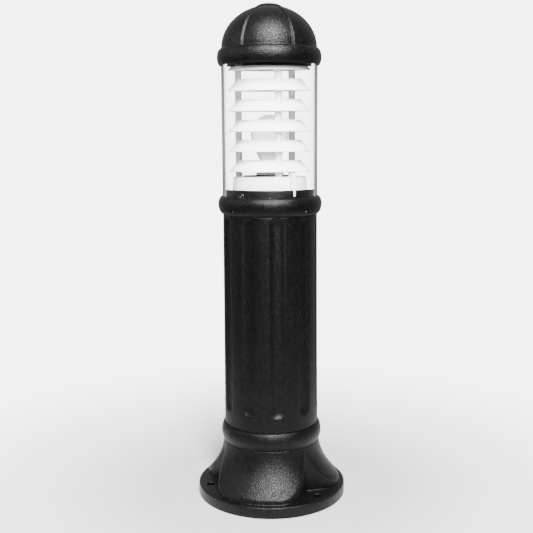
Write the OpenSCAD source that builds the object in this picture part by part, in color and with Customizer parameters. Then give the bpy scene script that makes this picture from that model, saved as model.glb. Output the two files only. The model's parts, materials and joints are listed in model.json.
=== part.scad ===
// Garden bollard light: a fluted column on a lobed foot, with a clear tube, a white louvre stack
// and a domed cap. Millimetres, +Z up, origin at the centre of the foot's underside.
// The front lobe of the foot points along -Y.

/* [Foot] */
// Outer radius of the round foot flange
foot_r = 123; // [118:1:130]
// Thickness of the foot flange
foot_t = 18; // [14:1:20]
// Radius of the circle that the ground bolts stand on
bolt_circle_r = 105; // [103:0.5:108]
// Radius of each ground bolt hole
bolt_hole_r = 6.25; // [4.5:0.25:7]
// Radius of the three lobes of the skirt at their upright lip
lip_r = 114; // [110:0.5:116]
// Half the width of one lobe, between its two flat sides
lobe_half_w = 69.5; // [69.3:0.1:71]
// Radius of a lobe's corners, seen from above
lobe_corner_r = 40; // [20:1:44]
// Height of the neck where the skirt meets the lower bead
neck_z = 92; // [88:1:94]

/* [Column] */
// Height of the joint between the foot's bead and the column
column_z0 = 123; // [120:1:126]
// Height of the shoulder where the column meets the collar
column_z1 = 469.5; // [468:0.5:470]
// Outer radius of the column at its lower end
column_r0 = 77.6; // [76.5:0.1:78]
// Outer radius of the column at its upper end
column_r1 = 76.3; // [76:0.1:77]
// Inner radius of the column
column_bore_r = 67; // [64:0.5:67.5]
// Number of flutes around the column
flute_count = 10; // [8:1:12]
// Width of one flute at the column's surface
flute_w = 24; // [16:1:26]
// Depth of one flute below the chord across its edges
flute_depth = 3.6; // [2:0.1:4]

/* [Collar and tube] */
// Height of the widest part of the collar's bead
collar_z = 487; // [486:0.5:488]
// Largest radius of the collar's bead
collar_r = 83.9; // [82:0.1:85]
// Height of the collar's shoulder that the clear tube stands on
shoulder_z = 499.5; // [499:0.1:500]
// Outer radius of the spigot band inside the clear tube
band_r = 71.6; // [71:0.1:71.7]
// Height of the spigot band's top face
band_z1 = 511; // [509:0.5:512]
// Outer radius of the clear tube
tube_r = 76.6; // [76:0.1:77]
// Wall thickness of the clear tube
tube_wall = 4.6; // [3:0.1:4.6]
// Number of clamp screws around the collar
collar_screw_count = 4; // [3:1:4]

/* [Louvre] */
// Number of louvre rings
ring_count = 6; // [6:1:6]
// Height of the lip of the lowest ring
lip_z0 = 539.5; // [539:0.5:540]
// Distance from one ring's lip to the next
ring_pitch = 30.88; // [30.8:0.01:30.9]
// Height of one conical ring
ring_h = 18.6; // [16:0.2:20]
// Radius of a ring at its lip
ring_lip_r = 65.5; // [63:0.5:67]
// Radius of a ring at its top
ring_top_r = 50; // [49.5:0.5:53]
// Wall thickness of a ring
ring_wall = 2.4; // [2:0.1:2.5]
// Radius of the circle that the three posts stand on
post_circle_r = 52; // [52:0.5:53]
// Radius of one post
post_r = 5.5; // [5:0.1:5.5]

/* [Dome] */
// Height where the dome meets its rim
dome_z = 731; // [730:0.5:732]
// Radius of the dome at its foot
dome_r = 76; // [75:0.5:77]
// Height of the dome's ellipse above its foot
dome_h = 66; // [65:0.5:67]
// Largest radius of the rim
rim_r = 83; // [81:0.1:84]
// Number of gores, with a groove between each two
gore_count = 6; // [4:1:8]
// Depth of a groove at the foot of the dome
groove_depth = 3.3; // [2:0.1:4]
// Height of the small boss's top above the ground
boss_top_z = 800; // [800:1:803]

/* [Lamp] */
// Largest radius of the lamp's bulb
bulb_r = 30; // [22:0.5:30]
// Height of the lamp's centre contact at rest
contact_z = 518; // [518:0.5:519]
// Height of the bulb's top at rest
bulb_top_z = 627; // [610:1:630]
// Outer radius of the lamp's screw cap
cap_r = 13.05; // [12.9:0.05:13.1]

/* [Hidden] */
$fn = 96;

// Clearances
fit_gap = 0.3;
screw_gap = 0.1;
black = [0.07, 0.07, 0.08];
white = [0.94, 0.94, 0.93];
steel = [0.72, 0.73, 0.75];
brass = [0.78, 0.66, 0.38];

// Directions, in degrees from +X
front = -90;
lobe_count = 3;
pocket_turn = front + 180 / lobe_count;
flute_turn = pocket_turn;
collar_screw_turn = pocket_turn;
post_turn = -59;
key_turn = -42;
groove_turn = -46;
post_count = 3;

// Foot
shelf_z0 = neck_z;
shelf_z1 = shelf_z0 + 5;
shelf_r = 54;
cavity_r0 = 75;
cavity_r1 = 71;
spigot_r = 73;
bead_r = 83.1;
neck_r = 79.6;
flare_steps = 12;
flare_low_z = 26.5;
column_boss_r = 6;
column_boss_h = 25;
column_boss_circle_r = 63;
column_screw_r = 2;
column_screw_l = 20;

// Column
top_spigot_r = 72.7;
top_spigot_bore_r = 66;
top_spigot_z1 = 492;
flute_z0 = 148;
flute_z1 = 468;
flute_chord_r = column_r0 * cos(asin(flute_w / 2 / column_r0));
flute_cut_r = (pow(flute_w / 2, 2) + pow(flute_depth, 2)) / (2 * flute_depth);
flute_lean = atan((column_r0 - column_r1) / (column_z1 - column_z0));

// Lamp bracket, holder and wiring
bracket_z = 484;
bracket_t = 3;
bracket_r = 65.4;
hat_r = 24;
hat_z1 = 512;
hat_hole_r = 8.5;
holder_screw_at = 11;
holder_screw_r = 1.5;
holder_floor_t = 3;
block_at = [40, 0];
block_w = 12;
block_l = 21;
block_h = 13;
pole_pitch = 6;
pole_z = 5;
wire_r = 1.2;
wire_bend_r = 6;
wire_x = 2;
wire_y = [-6, 0];
bracket_screw_r = 1.9;
bracket_screw_l = 16;
bracket_boss_r = 6;
bracket_boss_h = 27;
bracket_boss_circle_r = 62;
gland_at = [-38, 0];
gland_r = 8;
gland_bore_r = 4.5;
holder_r = 19;
holder_z1 = 547.5;
holder_seat_z = 532;
holder_seat_r = 21;
plate_r = 43;
plate_t = 2.5;
shade_ring_t = 6;
shell_r = 14.4;
shell_bore_r = 13.45;

// Collar
collar_bore_r = 73;
spigot_gap_z = 492.5;
collar_bore_z1 = 503;
collar_flange_r = 46.5;
collar_screw_z = 478.3;
collar_screw_r = 2;
collar_head_r = 3.2;
collar_head_at = 78.2;
groove_floor_z = 497;
key_w = 4;
key_z0 = 501.5;
key_z1 = 538;
key_r = 71.3;
slot_r = 55;

// Louvre
rod_r = 2.5;
rod_hole_r = 2.6;
rod_z0 = 493;
rod_z1 = 738;
cup_z1 = 532.5;
cup_r0 = 60;
cup_r1 = 58.5;
cup_corner_r = 4;
cup_wall = 3;
cup_hole_r = 46.5;
lip_h = 1.2;
post_proud = 0.5;
washer_r = 5;
washer_t = 1;
nut_h = 4;
nut_r = 4.6;

// Dome
rim_z0 = 704.3;
rim_mid_z = 716.5;
rim_edge_r = 7;
skirt_z0 = 699.8;
skirt_r = 67;
skirt_bore_r = 63;
dome_wall = 5;
seat_z = 712;
tube_z0 = 499.3;
tube_z1 = 708;
dome_boss_r = 6;
dome_boss_z1 = 769;
rod_bore_z1 = 741;
boss_r = 22.5;
boss_z = 793;
groove_top_at = [21.5, 61.2];
groove_mid_at = [51.7, 44.5];
groove_low_at = [dome_r - groove_depth, 0];

function ring_lip(i) = lip_z0 + (ring_count - i) * ring_pitch;
function ring_top(i) = ring_lip(i) + ring_h;
function flare_r(z) = neck_r + 0.125 * (neck_z - z) + 14.1 * pow((neck_z - z) / 50, 2.15);
// Radius of the collar's bead: t runs from -1 at its lower end to 1 at its upper end
function collar_bead_r(t) = column_r1 + 0.3 + (collar_r - column_r1 - 0.3) * pow(1 - t * t, 0.6);
// Points of an arc about c, from angle a0 to a1
function arc(c, rx, ry, a0, a1, n) =
    [for (i = [0:n]) [c[0] + rx * cos(a0 + (a1 - a0) * i / n), c[1] + ry * sin(a0 + (a1 - a0) * i / n)]];
// Centre and radius of the circle through three points
function circle_u(p, q) = (q * q - p * p) / 2;
function circle_det(p, q, r) = (q[0] - p[0]) * (r[1] - q[1]) - (r[0] - q[0]) * (q[1] - p[1]);
function circle_centre(p, q, r) =
    [(circle_u(p, q) * (r[1] - q[1]) - circle_u(q, r) * (q[1] - p[1])) / circle_det(p, q, r),
     ((q[0] - p[0]) * circle_u(q, r) - (r[0] - q[0]) * circle_u(p, q)) / circle_det(p, q, r)];

module polar(r, turn) {
    rotate([0, 0, turn]) translate([r, 0, 0]) children();
}

module around(count, turn, r = 0) {
    for (i = [0:count - 1]) polar(r, turn + 360 / count * i) children();
}

module rod(r, z0, z1) {
    translate([0, 0, z0]) cylinder(r = r, h = z1 - z0);
}

module ring(r_out, r_in, z0, z1) {
    difference() {
        rod(r_out, z0, z1);
        rod(r_in, z0 - 1, z1 + 1);
    }
}

// ---------- foot and column ----------

module skirt_solid() {
    rotate_extrude()
        polygon(concat([[50, foot_t - 1], [lip_r, foot_t - 1]],
            [for (i = [0:flare_steps])
                let (z = flare_low_z + (neck_z - flare_low_z) * i / flare_steps)
                    [min(flare_r(z), lip_r), z]],
            [[50, neck_z]]));
}

// A bolt pocket, seen from above, along +X: the notch between the flat sides of two lobes
module pocket_outline() {
    apex_r = lobe_half_w / sin(60);
    corner_in = lobe_half_w - lobe_corner_r;
    corner_out = sqrt(pow(lip_r - lobe_corner_r, 2) - pow(corner_in, 2));
    corner = [corner_out * cos(60) + corner_in * sin(60), corner_out * sin(60) - corner_in * cos(60)];
    corner_turn = atan2(corner[1], corner[0]);
    end_y = foot_r * sin(corner_turn);
    side = concat(arc(corner, lobe_corner_r, lobe_corner_r, -30, corner_turn, 10),
                  [[foot_r * cos(corner_turn), end_y], [foot_r + 10, end_y]]);
    polygon(concat([[apex_r, 0]], side, [for (i = [len(side) - 1:-1:0]) [side[i][0], -side[i][1]]]));
}

module base() {
    bead_mid_z = (neck_z + column_z0) / 2;
    color(black)
    difference() {
        union() {
            rotate_extrude()
                polygon(concat([[50, 0], [foot_r - 1, 0], [foot_r, 1]],
                    arc([foot_r - 3, foot_t - 3], 3, 3, 0, 90, 6), [[50, foot_t]]));
            difference() {
                skirt_solid();
                around(lobe_count, pocket_turn)
                    translate([0, 0, foot_t]) linear_extrude(height = neck_z) pocket_outline();
            }
            rotate_extrude()
                polygon(concat([[50, neck_z - 1], [neck_r, neck_z - 1]],
                    arc([bead_r - 7, bead_mid_z], 7, (column_z0 - neck_z) / 2, -88, 88, 16),
                    [[50, column_z0]]));
        }
        rotate_extrude()
            polygon([[0, -1], [cavity_r0, -1], [cavity_r0, foot_t], [cavity_r1, shelf_z0 - 12],
                     [cavity_r1, shelf_z0], [shelf_r, shelf_z0], [shelf_r, shelf_z1],
                     [spigot_r + screw_gap, shelf_z1], [spigot_r + screw_gap, column_z0 + 1],
                     [0, column_z0 + 1]]);
        around(lobe_count, pocket_turn, bolt_circle_r) rod(bolt_hole_r, -1, foot_t + 1);
        around(3, front, column_boss_circle_r) rod(column_screw_r + screw_gap, shelf_z0 - 1, shelf_z1 + 1);
    }
}

module flute() {
    cut_r = flute_chord_r - flute_depth + flute_cut_r;
    bottom_z = flute_z0 + flute_w / 2;
    top_z = flute_z1 - flute_w / 2;
    translate([cut_r, 0, bottom_z])
        rotate([0, -flute_lean, 0])
            rotate_extrude()
                intersection() {
                    union() {
                        circle(r = flute_cut_r);
                        translate([-flute_cut_r, 0]) square([2 * flute_cut_r, top_z - bottom_z]);
                        translate([0, top_z - bottom_z]) circle(r = flute_cut_r);
                    }
                    translate([0, -flute_cut_r])
                        square([flute_cut_r + 1, top_z - bottom_z + 2 * flute_cut_r]);
                }
}

module column() {
    color(black)
    difference() {
        union() {
            difference() {
                rotate_extrude()
                    polygon([[column_bore_r, shelf_z1], [spigot_r, shelf_z1], [spigot_r, column_z0],
                             [column_r0, column_z0], [column_r1, column_z1], [top_spigot_r, column_z1],
                             [top_spigot_r, top_spigot_z1], [top_spigot_bore_r, top_spigot_z1],
                             [top_spigot_bore_r, column_z1], [column_bore_r, column_z1 - 4]]);
                around(flute_count, flute_turn) flute();
            }
            intersection() {
                union() {
                    around(3, front, column_boss_circle_r)
                        rod(column_boss_r, shelf_z1, shelf_z1 + column_boss_h);
                    around(3, front + 60, bracket_boss_circle_r)
                        rod(bracket_boss_r, bracket_z - bracket_boss_h, bracket_z);
                }
                rod(column_bore_r + 1, shelf_z1, bracket_z);
            }
        }
        around(3, front, column_boss_circle_r)
            rod(column_screw_r, shelf_z1 - 1, shelf_z0 + column_screw_l);
        around(3, front + 60, bracket_boss_circle_r)
            rod(bracket_screw_r, bracket_z + bracket_t - bracket_screw_l, bracket_z + 1);
    }
}

module pan_screw(r, length, head_r, head_h) {
    cylinder(r = r, h = length);
    translate([0, 0, -head_h])
        difference() {
            cylinder(r = head_r, h = head_h);
            translate([0, 0, -1]) cylinder(r = head_r * 0.45, h = 1 + head_h * 0.6, $fn = 6);
        }
}

module column_screws() {
    color(steel)
    around(3, front, column_boss_circle_r)
        translate([0, 0, shelf_z0]) pan_screw(column_screw_r - 0.02, column_screw_l, 4, 3);
}

// ---------- lamp bracket and wiring ----------

module lamp_bracket() {
    color(steel)
    difference() {
        rotate_extrude()
            polygon([[hat_r, bracket_z], [bracket_r, bracket_z], [bracket_r, bracket_z + bracket_t],
                     [hat_r + 2, bracket_z + bracket_t], [hat_r + 2, hat_z1], [hat_hole_r, hat_z1],
                     [hat_hole_r, hat_z1 - 2], [hat_r, hat_z1 - 2]]);
        around(3, front + 60, bracket_boss_circle_r)
            rod(bracket_screw_r + screw_gap, bracket_z - 1, bracket_z + bracket_t + 1);
        translate([gland_at[0], gland_at[1], 0])
            rod(gland_r + screw_gap, bracket_z - 1, bracket_z + bracket_t + 1);
        around(2, 0, holder_screw_at) rod(holder_screw_r + screw_gap, hat_z1 - 3, hat_z1 + 1);
        for (y = wire_y)
            translate([0, y, bracket_z + bracket_t + pole_z])
                rotate([0, 90, 0]) cylinder(r = wire_r + 0.8, h = 40);
    }
}

module bracket_screws() {
    color(steel)
    around(3, front + 60, bracket_boss_circle_r)
        translate([0, 0, bracket_z + bracket_t])
            rotate([180, 0, 0]) pan_screw(bracket_screw_r - 0.02, bracket_screw_l, 3.6, 2.6);
}

module cable_gland() {
    color([0.2, 0.2, 0.21])
    translate([gland_at[0], gland_at[1], 0])
        difference() {
            union() {
                rod(gland_r, bracket_z - 4, bracket_z + bracket_t + 7);
                translate([0, 0, bracket_z - 4]) cylinder(r = 12, h = 4, $fn = 6);
                rod(10, bracket_z - 16, bracket_z - 4);
            }
            rod(gland_bore_r, bracket_z - 17, bracket_z + bracket_t + 8);
        }
}

module gland_nut() {
    color([0.2, 0.2, 0.21])
    translate([gland_at[0], gland_at[1], bracket_z + bracket_t])
        difference() {
            cylinder(r = 11.5, h = 4, $fn = 6);
            translate([0, 0, -1]) cylinder(r = gland_r + screw_gap, h = 6);
        }
}

module terminal_block() {
    color([0.85, 0.85, 0.8])
    translate([block_at[0], block_at[1], bracket_z + bracket_t])
        difference() {
            translate([-block_w / 2, -block_l / 2, 0]) cube([block_w, block_l, block_h]);
            for (i = [-1:1])
                translate([0, i * pole_pitch, 0]) {
                    translate([0, 0, pole_z])
                        rotate([0, 90, 0]) cylinder(r = 1.5, h = block_w + 2, center = true);
                    translate([0, 0, pole_z + 3]) cylinder(r = 1.7, h = block_h);
                }
        }
}

module terminal_screws() {
    color(brass)
    for (i = [-1:1])
        translate([block_at[0], i * pole_pitch, bracket_z + bracket_t + pole_z + 3])
            difference() {
                cylinder(r = 1.6, h = 4);
                translate([-3, -0.3, 3]) cube([6, 0.6, 2]);
            }
}

// A lead runs from the terminal block through the hat's wall and bends up to the holder
module lead() {
    low_z = bracket_z + bracket_t + pole_z;
    x0 = block_at[0] - block_w / 2;
    x1 = wire_x + wire_bend_r;
    translate([x1, 0, low_z]) rotate([0, 90, 0]) cylinder(r = wire_r, h = x0 - x1);
    translate([x1, 0, low_z + wire_bend_r])
        rotate([90, 0, 0])
            rotate([0, 0, 180])
                rotate_extrude(angle = 90) translate([wire_bend_r, 0]) circle(r = wire_r);
    translate([wire_x, 0, 0]) rod(wire_r, low_z + wire_bend_r, hat_z1 + holder_floor_t - 1);
}

module lamp_wires() {
    color([0.75, 0.2, 0.15])
    for (y = wire_y) translate([0, y, 0]) lead();
}

module holder_body() {
    color([0.93, 0.92, 0.88])
    difference() {
        union() {
            rod(holder_r, hat_z1, holder_z1);
            rod(holder_seat_r, hat_z1, holder_seat_z);
        }
        rod(shell_r + screw_gap, hat_z1 + holder_floor_t, holder_z1 + 1);
        around(2, 0, holder_screw_at)
            rod(holder_screw_r + screw_gap, hat_z1 - 1, hat_z1 + holder_floor_t + 1);
        for (y = wire_y)
            translate([wire_x, y, 0]) rod(wire_r + 0.3, hat_z1 - 1, hat_z1 + holder_floor_t - 1);
    }
}

module holder_shell() {
    color(brass)
    ring(shell_r, shell_bore_r, contact_z + 5, holder_z1 - 3);
}

module holder_contact() {
    color(brass)
    rod(5, hat_z1 + holder_floor_t, contact_z - fit_gap);
}

module holder_screws() {
    color(steel)
    around(2, 0, holder_screw_at)
        translate([0, 0, hat_z1 + holder_floor_t])
            rotate([180, 0, 0]) pan_screw(holder_screw_r, 8, 2.2, 1.6);
}

module holder_plate() {
    color(black)
    ring(plate_r, holder_r + fit_gap, holder_seat_z, holder_seat_z + plate_t);
}

module shade_ring() {
    z0 = holder_seat_z + plate_t;
    color([0.93, 0.92, 0.88])
    ring(holder_r + 3, holder_r + screw_gap, z0, z0 + shade_ring_t);
}

// ---------- lamp ----------

module lamp_contact() {
    color(brass)
    rod(4.5, contact_z, contact_z + 1.5);
}

module lamp_insulator() {
    color([0.08, 0.08, 0.09])
    translate([0, 0, contact_z + 1.5]) cylinder(r1 = 5.5, r2 = 10, h = 3.5);
}

module lamp_cap() {
    color(steel)
    ring(cap_r, cap_r - 0.6, contact_z + 5, contact_z + 28);
}

module lamp_bulb() {
    centre_z = bulb_top_z - bulb_r;
    neck_r = cap_r - 0.65;
    neck_top_z = contact_z + 29;
    color([0.97, 0.97, 0.95])
    rotate_extrude()
        polygon(concat(
            [[0, contact_z + 12], [neck_r, contact_z + 12], [neck_r, neck_top_z - 1],
             [neck_r + 1, neck_top_z]],
            [for (i = [1:8]) let (t = i / 9) [
                neck_r + 1 + (bulb_r * cos(38) - neck_r - 1) * (t * t * (3 - 2 * t)),
                neck_top_z + (centre_z - bulb_r * sin(38) - neck_top_z) * t]],
            arc([0, centre_z], bulb_r, bulb_r, -38, 90, 24)));
}

// ---------- head ----------

module collar() {
    bead_low = collar_z - column_z1 - 1;
    bead_high = shoulder_z + 0.5 - collar_z;
    color(black)
    difference() {
        union() {
            rotate_extrude()
                polygon(concat([[60, column_z1 + fit_gap], [column_r1, column_z1 + fit_gap]],
                    [for (i = [0:9]) let (t = -cos(10 * i)) [collar_bead_r(t), collar_z + t * bead_low]],
                    [for (i = [1:8]) let (t = sin(9.2 * i)) [collar_bead_r(t), collar_z + t * bead_high]],
                    [[tube_r + 1.5, shoulder_z], [60, shoulder_z]]));
            rod(band_r, shoulder_z - 1, band_z1);
        }
        rod(collar_bore_r, column_z1 - 1, spigot_gap_z);
        rod(top_spigot_bore_r, spigot_gap_z - 1, collar_bore_z1);
        rod(collar_flange_r, collar_bore_z1 - 1, band_z1 + 1);
        ring(tube_r + 0.4, band_r, groove_floor_z, shoulder_z + 1);
        around(post_count, post_turn, post_circle_r) rod(rod_hole_r, collar_bore_z1 - 1, band_z1 + 1);
        polar(0, key_turn)
            translate([slot_r, -key_w / 2 - 0.2, key_z0 - 0.5]) cube([20, key_w + 0.4, 20]);
        around(collar_screw_count, collar_screw_turn)
            translate([0, 0, collar_screw_z]) {
                rotate([0, 90, 0]) cylinder(r = collar_screw_r + screw_gap, h = 100);
                translate([collar_head_at, 0, 0]) rotate([0, 90, 0]) cylinder(r = collar_head_r, h = 12);
            }
    }
}

module collar_screws() {
    tip_r = collar_bore_r + 0.1;
    color(steel)
    around(collar_screw_count, collar_screw_turn)
        translate([collar_head_at, 0, collar_screw_z])
            rotate([0, -90, 0])
                pan_screw(collar_screw_r, collar_head_at - tip_r, collar_head_r - 0.3, 2.6);
}

module lower_gasket() {
    color([0.1, 0.1, 0.1])
    ring(tube_r + 0.3, band_r + 0.1, groove_floor_z, tube_z0);
}

module clear_tube() {
    color([0.85, 0.92, 0.95, 0.35])
    ring(tube_r, tube_r - tube_wall, tube_z0, tube_z1);
}

module upper_gasket() {
    color([0.1, 0.1, 0.1])
    ring(tube_r + 0.3, skirt_r + 0.1, tube_z1, seat_z);
}

module louvre_base() {
    color(white)
    difference() {
        union() {
            difference() {
                rotate_extrude()
                    polygon(concat([[cup_hole_r, band_z1], [cup_r0, band_z1]],
                        arc([cup_r1 - cup_corner_r, cup_z1 - cup_corner_r], cup_corner_r, cup_corner_r,
                            0, 90, 6),
                        [[cup_hole_r, cup_z1]]));
                rod(cup_r1 - cup_wall, band_z1 - 1, cup_z1 - cup_wall);
            }
            intersection() {
                around(post_count, post_turn, post_circle_r) rod(post_r, band_z1, cup_z1);
                rod(cup_r1, band_z1, cup_z1);
            }
            polar(0, key_turn)
                translate([cup_r1 - 2, -key_w / 2, key_z0])
                    cube([key_r - cup_r1 + 2, key_w, key_z1 - key_z0]);
        }
        around(post_count, post_turn, post_circle_r) rod(rod_hole_r, band_z1 - 1, cup_z1 + 1);
    }
}

module louvre_ring(i) {
    z0 = ring_lip(i);
    z1 = ring_top(i);
    post_z0 = i == ring_count ? cup_z1 : ring_top(i + 1);
    color(white)
    difference() {
        union() {
            rotate_extrude()
                polygon([[ring_lip_r - ring_wall, z0], [ring_lip_r, z0], [ring_lip_r, z0 + lip_h],
                         [ring_top_r, z1 - post_proud], [ring_top_r - ring_wall, z1 - post_proud]]);
            around(post_count, post_turn, post_circle_r) rod(post_r, post_z0, z1);
        }
        around(post_count, post_turn, post_circle_r) rod(rod_hole_r, post_z0 - 1, z1 + 1);
    }
}

module tie_rods() {
    color(steel)
    around(post_count, post_turn, post_circle_r) rod(rod_r, rod_z0, rod_z1);
}

module tie_washers() {
    color(steel)
    around(post_count, post_turn, post_circle_r)
        ring(washer_r, rod_r + screw_gap, collar_bore_z1 - washer_t, collar_bore_z1);
}

module tie_nuts() {
    color(steel)
    around(post_count, post_turn, post_circle_r)
        translate([0, 0, collar_bore_z1 - washer_t - nut_h])
            difference() {
                cylinder(r = nut_r, h = nut_h, $fn = 6);
                translate([0, 0, -1]) cylinder(r = rod_r + screw_gap / 2, h = nut_h + 2);
            }
}

module groove_cutter() {
    c = circle_centre(groove_low_at, groove_mid_at, groove_top_at);
    r = norm(groove_low_at - c);
    reach = 14;
    translate([c[0], 0, dome_z + c[1]])
        rotate([90, 0, 0])
            rotate_extrude(angle = 80)
                polygon([[r, 0], [r + reach, -reach], [r + reach, reach]]);
}

module dome() {
    color(black)
    difference() {
        union() {
            difference() {
                rotate_extrude()
                    polygon(concat([[0, dome_z - 1], [dome_r, dome_z - 1]],
                        arc([0, dome_z], dome_r, dome_h, 0, 90, 15)));
                intersection() {
                    around(gore_count, groove_turn) groove_cutter();
                    rod(dome_r + 5, dome_z, boss_z + 4);
                }
            }
            rotate_extrude()
                polygon(concat([[50, rim_z0], [rim_r - 4.3, rim_z0]],
                    arc([rim_r - rim_edge_r, rim_mid_z], rim_edge_r, 13.3, -66, 0, 6),
                    arc([rim_r - rim_edge_r, rim_mid_z], rim_edge_r, dome_z - rim_mid_z, 10, 88, 7),
                    [[50, dome_z]]));
            rod(skirt_r, skirt_z0, rim_z0 + 1);
            rotate_extrude()
                polygon(concat([[0, boss_z - 4], [boss_r, boss_z - 4]],
                    arc([0, boss_z], boss_r, boss_top_z - boss_z, 0, 90, 8)));
        }
        difference() {
            union() {
                rod(skirt_bore_r, skirt_z0 - 1, seat_z + 5.5);
                rotate_extrude()
                    polygon(concat([[0, seat_z + 5], [skirt_bore_r, seat_z + 5],
                                    [dome_r - dome_wall, dome_z - 2]],
                        arc([0, dome_z], dome_r - dome_wall, dome_h - dome_wall, 0, 90, 10)));
            }
            around(post_count, post_turn, post_circle_r) rod(dome_boss_r, ring_top(1), dome_boss_z1);
        }
        ring(tube_r + 0.5, skirt_r, skirt_z0 - 1, seat_z);
        around(post_count, post_turn, post_circle_r) rod(rod_hole_r, ring_top(1) - 1, rod_bore_z1);
    }
}

base();
column();
column_screws();
cable_gland();
gland_nut();
terminal_block();
terminal_screws();
lamp_bracket();
bracket_screws();
holder_body();
holder_shell();
holder_contact();
holder_screws();
holder_plate();
shade_ring();
lamp_wires();
lamp_contact();
lamp_insulator();
lamp_cap();
lamp_bulb();
collar();
collar_screws();
lower_gasket();
clear_tube();
upper_gasket();
louvre_base();
louvre_ring(1);  // louvre_ring_1
louvre_ring(2);  // louvre_ring_2
louvre_ring(3);  // louvre_ring_3
louvre_ring(4);  // louvre_ring_4
louvre_ring(5);  // louvre_ring_5
louvre_ring(6);  // louvre_ring_6
tie_rods();
tie_washers();
tie_nuts();
dome();
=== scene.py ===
import json
import math

import bmesh
import bpy
import numpy as np
from mathutils import Matrix, Vector

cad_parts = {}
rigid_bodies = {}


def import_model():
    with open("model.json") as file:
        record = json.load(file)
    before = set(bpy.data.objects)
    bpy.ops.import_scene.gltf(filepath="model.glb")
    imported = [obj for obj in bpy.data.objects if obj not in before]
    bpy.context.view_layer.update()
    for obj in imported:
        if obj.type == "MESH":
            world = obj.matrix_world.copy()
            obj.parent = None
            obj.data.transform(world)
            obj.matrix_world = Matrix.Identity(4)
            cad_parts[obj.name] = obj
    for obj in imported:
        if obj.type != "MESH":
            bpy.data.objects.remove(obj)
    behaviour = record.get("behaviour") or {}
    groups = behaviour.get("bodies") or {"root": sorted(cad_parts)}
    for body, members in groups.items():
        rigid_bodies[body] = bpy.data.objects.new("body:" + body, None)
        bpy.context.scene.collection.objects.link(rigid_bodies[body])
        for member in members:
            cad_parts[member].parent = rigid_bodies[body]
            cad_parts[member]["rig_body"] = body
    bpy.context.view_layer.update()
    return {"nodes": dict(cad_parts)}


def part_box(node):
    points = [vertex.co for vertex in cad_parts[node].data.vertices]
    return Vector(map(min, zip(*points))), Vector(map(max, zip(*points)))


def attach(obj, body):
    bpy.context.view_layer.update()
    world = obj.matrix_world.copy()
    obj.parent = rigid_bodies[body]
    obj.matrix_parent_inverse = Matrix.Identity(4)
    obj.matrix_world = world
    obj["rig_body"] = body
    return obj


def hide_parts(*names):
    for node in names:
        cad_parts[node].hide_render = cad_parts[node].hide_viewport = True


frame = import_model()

# Lengths are millimetres until a mesh is made; MM turns them into Blender's metres.
MM = 0.001
FRONT = -90

# Directions in degrees from +X, as the CAD part has them
POCKET_TURN = -30
FLUTE_TURN = -30
COLLAR_SCREW_TURN = -30
POST_TURN = -59
KEY_TURN = -42
GROOVE_TURN = -46
GLAND_TURN = 180
# How far the camera stands round from straight in front, towards +X
VIEW_TURN = 16.0

# How far from the axis the bolts, screws, rods and wiring stand
BOLT_CIRCLE_R = 105
BASE_SCREW_R = 63
BRACKET_SCREW_R = 62
HOLDER_SCREW_R = 11
TIE_CIRCLE_R = 52
COLLAR_SCREW_AT = (78.2, 478.3)
GLAND_CIRCLE_R = 38
TERMINAL_X = 40
WIRE_X = 2
TERMINAL_YS = (-6, 0, 6)
WIRE_YS = (-6, 0)

# Sizes that more than one piece shares
SKIRT_NECK_Z = 92.0
BRACKET_T = 3.0
LAMP_THREAD_PITCH = 3.63
TIE_HOLE_R = 2.6


# ---------- the frame's own sizes ----------

def low(node):
    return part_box(node)[0][2] / MM


def high(node):
    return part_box(node)[1][2] / MM


def radius(node):
    lowest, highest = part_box(node)
    return (highest[0] - lowest[0]) / 2 / MM


# ---------- mesh tools ----------

def rounded(corners, steps=4):
    """A closed loop of (r, z) from corners (r, z, corner radius), each rounded by an arc."""
    loop = []
    count = len(corners)
    for i, (r, z, fillet) in enumerate(corners):
        here = Vector((r, z))
        before = Vector(corners[i - 1][:2])
        after = Vector(corners[(i + 1) % count][:2])
        if fillet <= 0:
            loop.append((r, z))
            continue
        into = (before - here).normalized()
        out = (after - here).normalized()
        half = max(into.angle(out) / 2, 0.01)
        reach = min(fillet / math.tan(half), 0.48 * (before - here).length, 0.48 * (after - here).length)
        bend = reach * math.tan(half)
        centre = here + (into + out).normalized() * (bend / math.sin(half))
        start = here + into * reach - centre
        sweep = start.angle_signed(here + out * reach - centre)
        for k in range(steps + 1):
            turned = Matrix.Rotation(-sweep * k / steps, 2) @ start
            loop.append((centre.x + turned.x, centre.y + turned.y))
    return loop


def ellipse(centre, rx, rz, start, end, steps):
    """Points (r, z) along an ellipse, from one angle to another in degrees."""
    angles = np.radians(np.linspace(start, end, steps + 1))
    return [(centre[0] + rx * math.cos(a), centre[1] + rz * math.sin(a)) for a in angles]


def even_turns(count):
    return np.arange(count) * 360.0 / count


def loft(profile_at, turns, closed=True):
    """A bmesh swept round Z. profile_at(turn) gives the (r, z) loop at that angle; it may change with it."""
    rows = np.array([profile_at(t) for t in turns], float)
    count, points = rows.shape[:2]
    angle = np.radians(turns)[:, None]
    where = np.stack([rows[:, :, 0] * np.cos(angle), rows[:, :, 0] * np.sin(angle), rows[:, :, 1]], axis=2)
    bm = bmesh.new()
    verts = [bm.verts.new(p) for p in where.reshape(-1, 3) * MM]
    for i in range(count):
        here, there = i * points, (i + 1) % count * points
        for j in range(points if closed else points - 1):
            k = (j + 1) % points
            bm.faces.new((verts[here + j], verts[there + j], verts[there + k], verts[here + k]))
    bmesh.ops.remove_doubles(bm, verts=bm.verts, dist=1e-7)
    bmesh.ops.delete(bm, geom=[e for e in bm.edges if not e.link_faces], context="EDGES")
    bmesh.ops.recalc_face_normals(bm, faces=bm.faces)
    return bm


def lathe(profile, segments=160):
    return loft(lambda turn: profile, even_turns(segments))


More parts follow.
